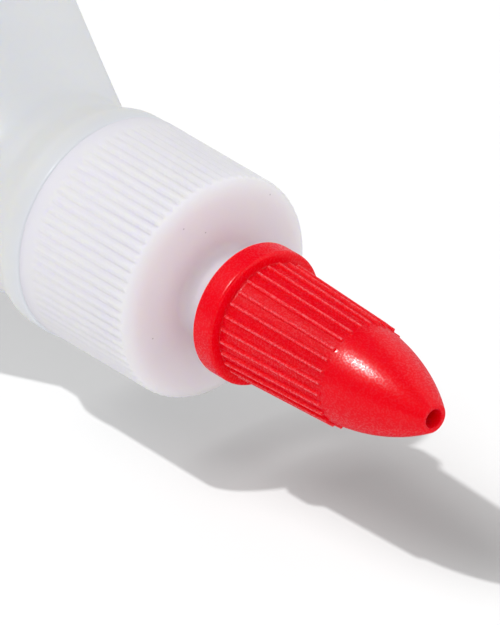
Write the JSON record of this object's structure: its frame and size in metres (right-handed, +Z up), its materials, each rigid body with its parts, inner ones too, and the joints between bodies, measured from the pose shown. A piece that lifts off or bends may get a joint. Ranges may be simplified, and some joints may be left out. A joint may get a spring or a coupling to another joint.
{
  "type": "craft glue bottle",
  "caption": "Oval translucent squeeze bottle with sloping shoulders, a ribbed white screw cap with a spout stem, and a ribbed red nozzle that closes on a pin.",
  "frame": {"origin": "on the surface that the bottle lies on, below the middle of its bounding box", "axes": "+X along the neck axis from the bottle's base towards the nozzle's tip, +Y across the broad side, +Z up"},
  "size_m": [0.1562, 0.056, 0.0416],
  "materials": {
    "bottle": "translucent blow-moulded plastic, satin",
    "liner": "soft foam, matt",
    "cap": "white moulded plastic, satin",
    "nozzle": "red moulded plastic, semi-gloss with a fine grain"
  },
  "bodies": {
    "bottle_body": {"bottle": "bottle"},
    "seal": {"cap_liner": "liner"},
    "cap": {"screw_cap": "cap"},
    "nozzle": {"twist_nozzle": "nozzle"}
  },
  "joints": [
    {"name": "cap_lift", "type": "slide", "parent": "bottle_body", "child": "seal", "axis": [1, 0, 0], "range_m": [0, 0.0048]},
    {"name": "cap_turn", "type": "hinge", "parent": "seal", "child": "cap", "pos_m": [0.02145, 0, 0.0208], "axis": [1, 0, 0], "range_deg": [0, 540]},
    {"name": "nozzle_lift", "type": "slide", "parent": "cap", "child": "nozzle", "axis": [1, 0, 0], "range_m": [-0.0048, 0]}
  ],
  "couplings": [
    {"joint": "cap_lift", "follows": "cap_turn", "m_per_rad": 0.000506}
  ]
}
